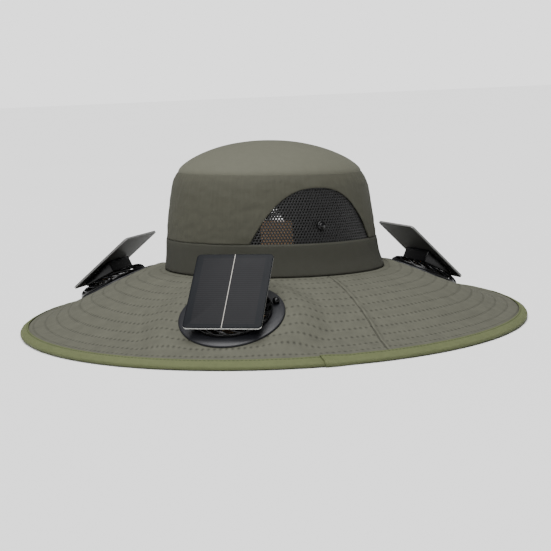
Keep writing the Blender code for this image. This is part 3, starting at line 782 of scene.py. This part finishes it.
def wallPlace(u, v):
    azimuth = (u - 0.5) * 2 * pi
    low = archShare(azimuth)
    up = mix(low, 1.0, v)
    fromTop = (1 - up) * hat["wallHeight"]
    hem = seamTurn((up - low) * hat["wallHeight"]) * 0.6 if low > 0 else 0.0
    inset = seamTurn(fromTop) - softFolds(azimuth, up) * ease(fromTop / 0.004) + hem
    return wallPoint(azimuth, up, inset)


def wallChart(u, v):
    azimuth = (u - 0.5) * 2 * pi
    return azimuth * hat["headLength"] * 0.46, mix(archShare(azimuth), 1.0, v) * hat["wallHeight"]


def makeCrownWall():
    bm = gridSheet(crown["columns"], crown["wallRows"], wallPlace, wallChart)
    return addPiece("crownWall", bm, [finish["crown"]], "hat", ["crown_wall"],
                    thick=crown["cloth"])


def domePlace(u, v):
    azimuth = (u - 0.5) * 2 * pi
    reach = sin(v * pi / 2)
    edge = hat["headLength"] / 2 * smoothRead(hat["wallReach"], 1.0)
    fall = seamTurn((1 - reach) * edge)
    rise = hat["domeRise"] * max(0.0, 1 - reach ** 2) ** 0.7
    ripple = noise.noise(Vector((sin(azimuth) * reach * 2.4, cos(azimuth) * reach * 2.4, 5.5)))
    size = smoothRead(hat["wallReach"], 1.0) * reach
    height = hat["baseHeight"] + hat["bandHeight"] + hat["wallHeight"] + rise - fall
    point = ovalPoint(hat["headLength"] * size, hat["headWidth"] * size, 0.0, height, azimuth)
    point.z += ripple * 0.0006 * (1 - reach)
    return point


def makeCrownTop():
    bm = gridSheet(crown["columns"], crown["domeRows"], domePlace, lambda u, v: (u, v))
    bmesh.ops.reverse_faces(bm, faces=bm.faces)
    return addPiece("crownTop", bm, [finish["top"]], "hat", ["crown_top"],
                    thick=crown["cloth"])


def bandPlace(u, v):
    azimuth = (u - 0.5) * 2 * pi
    fromTop = (1 - v) * hat["bandHeight"]
    fromFoot = v * hat["bandHeight"]
    proud = crown["bandProud"] - seamTurn(fromTop) - seamTurn(fromFoot) * 1.3
    stitchLine = 0.00022 * exp(-((fromTop - 0.0022) / 0.0007) ** 2)
    sway = 0.0003 * noise.noise(Vector((azimuth * 4.0, v * 2.0, 7.7)))
    return bandPoint(azimuth, v, stitchLine - proud + sway)


def bandChart(u, v):
    return (u - 0.5) * 2 * pi * hat["headLength"] * 0.48, v * hat["bandHeight"]


def makeCrownBand():
    bm = gridSheet(crown["columns"], crown["bandRows"], bandPlace, bandChart)
    return addPiece("crownBand", bm, [finish["band"]], "hat", ["crown_band"],
                    thick=0.0014)


def makeNet(side):
    # a three-way lattice whose every crossing opens into a hole, laid along the wall
    middle = arch["middle"][side]
    speed = hat["headLength"] / 2 * 0.93
    rowStep = arch["netPitch"] * sqrt(3) / 2
    columns = int(2 * (arch["half"] * speed + arch["netTuck"]) / arch["netPitch"])
    rows = int((arch["height"] + 2 * arch["netTuck"]) / rowStep)
    bm = bmesh.new()
    bmesh.ops.create_grid(bm, x_segments=columns, y_segments=rows, size=0.5)
    for vert in bm.verts:
        column = (vert.co.x + 0.5) * columns
        row = round((vert.co.y + 0.5) * rows)
        shift = 0.5 * (row % 2)
        vert.co = ((column + shift - columns / 2) * arch["netPitch"], row * rowStep - arch["netTuck"], 0)
    slanted = []
    for face in bm.faces:
        ordered = sorted(face.verts, key=lambda v: (v.co.y, v.co.x))
        pairs = [(a, b) for a in ordered[:2] for b in ordered[2:] if not bm.edges.get((a, b))]
        slanted.append((face, min(pairs, key=lambda p: (p[0].co - p[1].co).length)))
    for face, (a, b) in slanted:
        bmesh.utils.face_split(face, a, b)
    inner = [v for v in bm.verts if not v.is_boundary]
    opened = bmesh.ops.bevel(bm, geom=inner, offset=arch["netHole"], segments=1, profile=0.5,
                             affect="VERTICES", material=-1)
    bmesh.ops.delete(bm, geom=opened["faces"], context="FACES")
    outside = []
    for face in bm.faces:
        centre = face.calc_center_median()
        share = abs(centre.x / speed) / arch["half"]
        over = arch["height"] * (1 - share ** arch["power"]) if share < 1.1 else -1.0
        if centre.y > over + arch["netTuck"] or share > 1.06:
            outside.append(face)
    bmesh.ops.delete(bm, geom=outside, context="FACES")
    for vert in bm.verts:
        azimuth = middle + vert.co.x / speed
        up = vert.co.y / hat["wallHeight"]
        slack = 0.0005 * noise.noise(Vector((vert.co.x * 40, vert.co.y * 40, 1.1 + middle)))
        point = wallPoint(azimuth, max(up, 0.0), arch["netInset"] + slack)
        point.z += min(up, 0.0) * hat["wallHeight"]
        vert.co = point
    bmesh.ops.recalc_face_normals(bm, faces=bm.faces)
    return addPiece("net_" + side, bm, [finish["net"]], "hat", ["mesh_" + side],
                    smoothAngle=radians(50), thick=arch["yarn"])


label = {
    "azimuth": radians(-120),
    "width": 0.029,
    "height": 0.025,
    "over": 0.0062,         # how far it stands over the band
    "inset": 0.0034,
    "cloth": 0.0006,
}


def labelPlace(u, v):
    azimuth = label["azimuth"] + (u - 0.5) * label["width"] / (hat["headWidth"] / 2)
    fromTop = (1 - v) * label["height"] - label["over"]
    bow = 0.0004 * sin(u * pi) * sin(v * pi)
    return bandPoint(azimuth, 1 - fromTop / hat["bandHeight"], label["inset"] + bow)


def makeLabel():
    bm = gridSheet(16, 12, labelPlace, lambda u, v: (u * label["width"], v * label["height"]))
    return addPiece("tanPatch", bm, [finish["patch"]], "hat", ["inner_label"],
                    thick=label["cloth"])


snap = {
    "up": 0.0153,
    "profile": [(0.0, 0.0032), (0.0012, 0.0031), (0.0020, 0.0027), (0.0024, 0.0021), (0.0030, 0.0019),
                (0.0036, 0.0017), (0.0041, 0.0012), (0.0042, 0.0006), (0.0040, 0.0001), (0.0, 0.0001)],
}


def wallFrame(azimuth, up, off):
    step = 0.02
    along = wallPoint(azimuth + step, up) - wallPoint(azimuth - step, up)
    rise = wallPoint(azimuth, up + step) - wallPoint(azimuth, up - step)
    outward = along.cross(rise).normalized()
    turnedBy = outward.to_track_quat("Z", "Y").to_matrix().to_4x4()
    return Matrix.Translation(wallPoint(azimuth, up) + outward * off) @ turnedBy


def makeSnap(side):
    bm = turned(snap["profile"], 40, False)
    bm.transform(wallFrame(arch["middle"][side], snap["up"] / hat["wallHeight"], -0.0003))
    return addPiece("snapButton_" + side, bm, [finish["black"]], "hat",
                    ["snap_" + side], smoothAngle=radians(50))


makeCrownWall()
makeCrownTop()
makeCrownBand()
for side in arch["middle"]:
    makeNet(side)
    makeSnap(side)
makeLabel()
print("crown made")


# brim

brimSeam = {
    "innerAzimuth": brimStitch["seamIn"],
    "outerAzimuth": brimStitch["seamOut"],
    "innerRadius": 0.1,
    "outerRadius": 0.235,
    "width": 0.0030,
    "height": 0.0009,
    "crease": 0.0006,
}


def sideSeam(azimuth, out):
    # the raised fold of the seams at the hat's two sides
    s = brimSeam
    place = radians(mix(s["innerAzimuth"], s["outerAzimuth"], out))
    radius = mix(s["innerRadius"], s["outerRadius"], out)
    off = min(abs(azimuth - place), abs(azimuth + place)) * radius
    ridge = exp(-((off - s["width"] / 2) / (s["width"] * 0.42)) ** 2)
    crease = exp(-(off / s["crease"]) ** 2)
    return s["height"] * (ridge * 0.8 - crease * 0.9)


def brimPlace(u, v):
    azimuth = (u - 0.5) * 2 * pi
    if v > 1 - brim["taped"]:
        # under the tape
        share = (v - 1 + brim["taped"]) / brim["taped"]
        top = brimPoint(azimuth, 1.0)
        return top.lerp(edgePoint(azimuth), share * 0.75) - Vector((0, 0, 0.0004))
    out = v / (1 - brim["taped"])
    point = brimPoint(azimuth, out)
    length = brimLength(azimuth)
    pitch = brimStitch["rowPitch"]
    row = (out * length - brimStitch["firstRow"]) / pitch
    offRow = abs(row - round(row)) * pitch
    stitched = brim["puff"] * (offRow / pitch * 2) - brim["groove"] * exp(-(offRow / 0.0013) ** 2)
    pucker = noise.noise(Vector((azimuth * 32.0, round(row) * 3.0, 4.2))) * 0.00018
    sway = noise.noise(Vector((azimuth * 3.0, out * 2.5, 9.1))) * 0.0010
    near = min(1.0, seatClear(point))
    point.z += stitched + pucker * near + (sway * out * (1 - out) * 4) * near
    point.z += sideSeam(azimuth, out) * ease(out / 0.03) * ease((1 - out) / 0.03)
    return point


def seatClear(point):
    # 0 on a fan's seat, 1 well clear of it
    flat = fanUnit["ringRadius"] + 0.001
    nearest = min((point - made.translation).length for made in unitAt.values())
    return ease((nearest - flat) / 0.012)


lengthAt = {}


def brimLength(azimuth):
    key = round(azimuth, 3)
    if key not in lengthAt:
        start, end = bandPoint(azimuth, 0.0), edgePoint(azimuth)
        lengthAt[key] = (end - start).length - brim["rollWidth"]
    return lengthAt[key]


def brimChart(u, v):
    # the azimuth, then the distance from the crown's seam
    azimuth = (u - 0.5) * 2 * pi
    return azimuth * chartAzimuth, v / (1 - brim["taped"]) * brimLength(azimuth)


def openFanHoles(bm):
    # clear each fan's hole, with its rim's points drawn onto a true circle
    rim = fanUnit["holeRadius"] + fanUnit["holeHem"]
    for made in unitAt.values():
        toUnit = made.inverted()
        inner = []
        for face in bm.faces:
            centre = toUnit @ face.calc_center_median()
            if hypot(centre.x, centre.y) < rim and abs(centre.z) < 0.03:
                inner.append(face)
        bmesh.ops.delete(bm, geom=inner, context="FACES")
        for vert in bm.verts:
            if vert.is_boundary:
                local = toUnit @ vert.co
                distance = hypot(local.x, local.y)
                if distance < rim + 0.004 and abs(local.z) < 0.03:
                    local.x *= rim / distance
                    local.y *= rim / distance
                    vert.co = made @ local


def makeBrim():
    rows = round(brim["bands"] * brim["rowsInBand"] / (1 - brim["taped"]))
    bm = gridSheet(brim["columns"], rows, brimPlace, brimChart)
    bmesh.ops.reverse_faces(bm, faces=bm.faces)
    openFanHoles(bm)
    return addPiece("quiltedBrim", bm, [finish["brim"]], "hat", ["brim"],
                    thick=brim["cloth"])


tape = {
    "cloth": 0.0008,
    "topLeg": 0.0072,
    "underLeg": 0.0060,
    "round": 0.0021,
    "drawnIn": 0.0016,
    "lapAzimuth": radians(68),
    "lapOver": radians(1.9),
    "lapLift": 0.0016,
    "slant": radians(1.6),
    "columns": 760,
    "rows": 22,
}


def tapeSection(share):
    # the folded tape from its upper inner edge, over the brim's edge, to its lower inner edge
    leg, under, curve = tape["topLeg"], tape["underLeg"], tape["round"]
    arc = pi * curve
    run = share * (leg + arc + under)
    lift = curve - 0.0011
    if run < leg:
        edgeDip = 0.0003 * exp(-((run - 0.0018) / 0.0007) ** 2)
        return run - leg, lift - edgeDip + 0.0004 * sin(min(1.0, run / leg) * pi), run
    if run < leg + arc:
        angle = (run - leg) / curve
        return curve * sin(angle), lift - curve * (1 - cos(angle)), run
    return -(run - leg - arc), lift - 2 * curve, run


def tapePlace(u, v):
    along, off, run = tapeSection(v)
    start = tape["lapAzimuth"] + tape["slant"] * (v - 0.35)
    azimuth = mix(start, tape["lapAzimuth"] + 2 * pi + tape["lapOver"], u)
    fromStart = (azimuth - start) * 0.235
    lift = tape["lapLift"] * (1 - ease((fromStart - 0.004) / 0.020))
    ripple = 0.00022 * noise.noise(Vector((azimuth * 30.0, v * 2.0, 6.6)))
    edge = edgePoint(azimuth)
    outward = edgeOutward(azimuth)
    bulge = lift * (1.0 if along > -0.002 else 0.75) + ripple
    norm = hypot(max(along, 0.0), off) or 1.0
    along += bulge * (max(along, 0.0) / norm)
    off += bulge * (1 if off > -0.001 else -1) * (1.0 if along < 0.001 else 0.6)
    along -= tape["drawnIn"]
    level = along * cos(brim["rollSlope"]) + off * sin(brim["rollSlope"])
    height = edge.z - along * sin(brim["rollSlope"]) + off * cos(brim["rollSlope"])
    place = edge + outward * level
    place.z = max(tape["cloth"] * 0.4, height)
    return place


def tapeChart(u, v):
    whole = tape["topLeg"] + tape["underLeg"] + pi * tape["round"]
    return u * 2 * pi * 0.234, v * whole


def makeTape():
    bm = gridSheet(tape["columns"], tape["rows"], tapePlace, tapeChart, mergeAt=0.000001)
    bmesh.ops.reverse_faces(bm, faces=bm.faces)
    return addPiece("bindingTape", bm, [finish["tape"]], "hat", ["brim_binding"],
                    thick=tape["cloth"])


makeBrim()
makeTape()
print("brim made")


# fan units

def makeRing(name, made):
    f = fanUnit
    collar = f["holeRadius"] - f["gap"]
    inner = collar - f["collarWall"]
    under = -brim["cloth"] - f["gap"]
    profile = [(inner, f["ringHeight"] - 0.0004), (inner + 0.0004, f["ringHeight"])]
    profile += [(f["ringRadius"] - f["ringBevel"], f["ringHeight"] - 0.0002),
                (f["ringRadius"] - 0.0005, f["ringLip"] + 0.0007), (f["ringRadius"], f["ringLip"]),
                (f["ringRadius"], f["gap"]), (collar, f["gap"]), (collar, under),
                (f["clampRadius"], under), (f["clampRadius"], under - f["clampHeight"] + 0.0003),
                (f["clampRadius"] - 0.0003, under - f["clampHeight"]), (collar, under - f["clampHeight"]),
                (collar, -f["collarDepth"]), (inner, -f["collarDepth"])]
    bm = turned(profile, 120, True)
    bm.transform(made)
    return addPiece("ring_" + name, bm, [finish["ring"]], "hat", ["fan_ring_" + name],
                    smoothAngle=radians(28))


def cageRun(share):
    # radius and height along the cage, from its disc to its foot
    f = fanUnit
    foot = f["ringHeight"] + f["gap"]
    top = foot + f["cageHeight"]
    flat = f["cageRadius"] - f["cageShoulder"] - f["cageDisc"]
    curve = pi / 2 * f["cageShoulder"] * 0.84
    run = share * (flat + curve + f["cageFoot"])
    if run < flat:
        return f["cageDisc"] + run, top
    if run < flat + curve:
        angle = (run - flat) / curve * pi / 2
        return (f["cageRadius"] - f["cageShoulder"] + f["cageShoulder"] * sin(angle),
                top - (f["cageHeight"] - f["cageFoot"]) * (1 - cos(angle)))
    return f["cageRadius"], foot + f["cageFoot"] - (run - flat - curve)


def makeCage(name, made):
    f = fanUnit
    perBar, barShare = 5, 2
    rows = 16
    columns = f["cageBars"] * perBar

    def place(u, v):
        radius, height = cageRun(v)
        angle = u * 2 * pi + f["cageTwist"] * ease(v * 0.5) * 2
        return Vector((radius * cos(angle), radius * sin(angle), height))

    bm = gridSheet(columns, rows, place, lambda u, v: (u, v), mergeAt=0.00001)
    pattern = bm.loops.layers.uv["chart"]
    gaps = []
    for face in bm.faces:
        column = int(min(loop[pattern].uv.x for loop in face.loops) * columns + 0.5)
        row = int(min(loop[pattern].uv.y for loop in face.loops) * rows + 0.5)
        if column % perBar >= barShare and 0 < row < rows - 2:
            gaps.append(face)
    bmesh.ops.delete(bm, geom=gaps, context="FACES")
    rim = [e for e in bm.edges if e.is_boundary and all(
        abs(hypot(v.co.x, v.co.y) - f["cageDisc"]) < 0.0002 for v in e.verts)]
    bmesh.ops.contextual_create(bm, geom=rim)
    bmesh.ops.recalc_face_normals(bm, faces=bm.faces)
    if sum(face.normal.z for face in bm.faces) < 0:
        bmesh.ops.reverse_faces(bm, faces=bm.faces)
    bm.transform(made)
    piece = addPiece("cage_" + name, bm, [finish["black"]], "hat",
                     ["fan_cage_" + name], smoothAngle=radians(45), thick=f["cageWall"])
    soften = piece.modifiers.new("soften", "BEVEL")
    soften.width = 0.00022
    soften.segments = 1
    soften.angle_limit = radians(40)
    return piece


rotor = {
    "hubRadius": 0.0078,
    "hubTop": 0.0022,
    "hubLow": -0.0040,
    "blades": 5,
    "sweep": radians(44),
    "lift": 0.0046,
    "lean": radians(14),
    "tip": 0.0275,
    "thick": 0.0011,
}


def makeRotor(name, made):
    r = rotor
    hub = turned([(0.0, r["hubTop"]), (r["hubRadius"] - 0.0012, r["hubTop"]),
                  (r["hubRadius"], r["hubTop"] - 0.0010), (r["hubRadius"], r["hubLow"] + 0.0012),
                  (r["hubRadius"] - 0.0012, r["hubLow"]), (0.0, r["hubLow"])], 36, False)
    middle = (r["hubTop"] + r["hubLow"]) / 2
    root = r["hubRadius"] * 0.8
    for blade in range(r["blades"]):
        base = 2 * pi * blade / r["blades"]

        def place(u, v):
            rounding = 1 - 0.45 * max(0.0, abs(u - 0.5) * 2 - 0.55) ** 1.5
            radius = mix(root, r["tip"] * rounding, v)
            spread = r["sweep"] * mix(0.7, 1.0, ease(v))
            angle = base + spread * (u - 0.5) + r["lean"] * v
            rise = -r["lift"] * (u - 0.5) * mix(1.0, 0.75, v)
            return Vector((radius * cos(angle), radius * sin(angle), middle + rise))

        leaf = gridSheet(10, 8, place, lambda u, v: (u, v))
        bmesh.ops.solidify(leaf, geom=leaf.faces[:], thickness=r["thick"])
        held = bpy.data.meshes.new("leaf")
        leaf.to_mesh(held)
        leaf.free()
        hub.from_mesh(held)
        bpy.data.meshes.remove(held)
    bmesh.ops.recalc_face_normals(hub, faces=hub.faces)
    hub.transform(made)
    return addPiece("rotor_" + name, hub, [finish["rotor"]], "rotor_" + name,
                    ["fan_rotor_" + name], smoothAngle=radians(40))


def panelFrame(name, made):
    f = fanUnit
    edge = Vector((f["edgeOut"][name], 0, f["edgeRise"][name]))
    return made @ Matrix.Translation(edge) @ Matrix.Rotation(f["wedge"][name], 4, "Y")


def makePanel(name, made):
    f = fanUnit
    length, width, thick = f["panelLength"], f["panelWidth"], f["panelThickness"]
    bm = bmesh.new()
    bmesh.ops.create_cube(bm, size=1.0)
    bmesh.ops.scale(bm, vec=(length, width, thick), verts=bm.verts)
    bmesh.ops.translate(bm, vec=(-length / 2, 0, -thick / 2), verts=bm.verts)
    upright = [e for e in bm.edges if abs(e.verts[0].co.z - e.verts[1].co.z) > thick / 2]
    rounded(bm, upright, f["panelCorner"], 6)
    top = [face for face in bm.faces if face.normal.z > 0.9]
    # a shallow step where the resin stops short of the board's edge
    bmesh.ops.inset_region(bm, faces=top, thickness=0.0007, depth=0.0, use_even_offset=True)
    around = [v for v in bm.verts if v.co.z > -0.0001 and v not in top[0].verts]
    bmesh.ops.translate(bm, vec=(0, 0, -0.0002), verts=around)
    outer = [e for e in bm.edges if all(abs(v.co.z + 0.0002) < 0.00001 for v in e.verts)]
    rounded(bm, outer, 0.0004, 2)
    pattern = bm.loops.layers.uv.new("chart")
    bm.normal_update()
    for face in bm.faces:
        # cell, lower end, underside, other sides
        lowest = min(v.co.z for v in face.verts)
        if lowest > -0.0009 and face.normal.z > 0.3:
            face.material_index = 0
        elif face.normal.z < -0.5:
            face.material_index = 2
        else:
            face.material_index = 3 if face.normal.x < 0.3 else 1
        for loop in face.loops:
            loop[pattern].uv = (-loop.vert.co.x, loop.vert.co.y)
    bm.transform(panelFrame(name, made))
    # the underside and boardSide finishes are painted shade on the pale board
    finishes = [finish[key] for key in ("cell", "board", "underside", "boardSide")]
    return addPiece("cellPlate_" + name, bm, finishes, "hat", ["solar_panel_" + name],
                    smoothAngle=radians(30))


def makeStand(name, made):
    f = fanUnit
    foot = f["ringHeight"] + 2 * f["gap"] + f["cageHeight"]
    bm = bmesh.new()
    bmesh.ops.create_cube(bm, size=1.0)
    for vert in bm.verts:
        vert.co.x *= f["standLength"]
        vert.co.y *= f["standWidth"]
        top = f["edgeRise"][name] + (f["edgeOut"][name] - vert.co.x) * tan(f["wedge"][name])
        top -= (f["panelThickness"] + f["gap"]) / cos(f["wedge"][name])
        vert.co.z = foot if vert.co.z < 0 else top
    rounded(bm, list(bm.edges), 0.0012, 3)
    bm.transform(made)
    return addPiece("stand_" + name, bm, [finish["black"]], "hat",
                    ["panel_stand_" + name], smoothAngle=radians(40))


def makeKnob(name, made):
    f = fanUnit
    r, h = f["knobRadius"], f["knobHeight"]
    profile = [(r * sin(pi / 2 * i / 6), h * 0.45 + h * 0.55 * cos(pi / 2 * i / 6)) for i in range(7)]
    profile += [(r, h * 0.25), (r * 0.8, 0.0), (0.0, 0.0)]
    bm = turned(profile, 32, False)
    reach = (f["cageRadius"] + f["ringRadius"] - f["ringBevel"]) / 2
    place = Vector((reach * cos(f["knobAngle"]), reach * sin(f["knobAngle"]), f["ringHeight"] + f["gap"]))
    bm.transform(made @ Matrix.Translation(place))
    return addPiece("knob_" + name, bm, [finish["black"]], "hat",
                    ["fan_knob_" + name], smoothAngle=radians(50))


for name, made in unitAt.items():
    makeRing(name, made)
    makeCage(name, made)
    makeRotor(name, made)
    makeStand(name, made)
    makePanel(name, made)
    makeKnob(name, made)
    motor = frame["nodes"]["fan_motor_" + name]
    motor.data.materials.clear()
    motor.data.materials.append(finish["motor"])
print("fans made")


# floor

def makeFloor():
    bm = bmesh.new()
    bmesh.ops.create_grid(bm, x_segments=1, y_segments=1, size=12.0)
    mesh = bpy.data.meshes.new("floor")
    bm.to_mesh(mesh)
    bm.free()
    floor = bpy.data.objects.new("floor", mesh)
    bpy.context.scene.collection.objects.link(floor)
    paint = Paint("floor")
    place = paint.objectPlace()
    cloudy = paint.noise(place, 1.5, 1.0)
    paint.set(Base_Color=paint.blend(cloudy, (0.93, 0.93, 0.93), (0.96, 0.96, 0.96)), Roughness=0.9)
    mesh.materials.append(paint.material)


makeFloor()
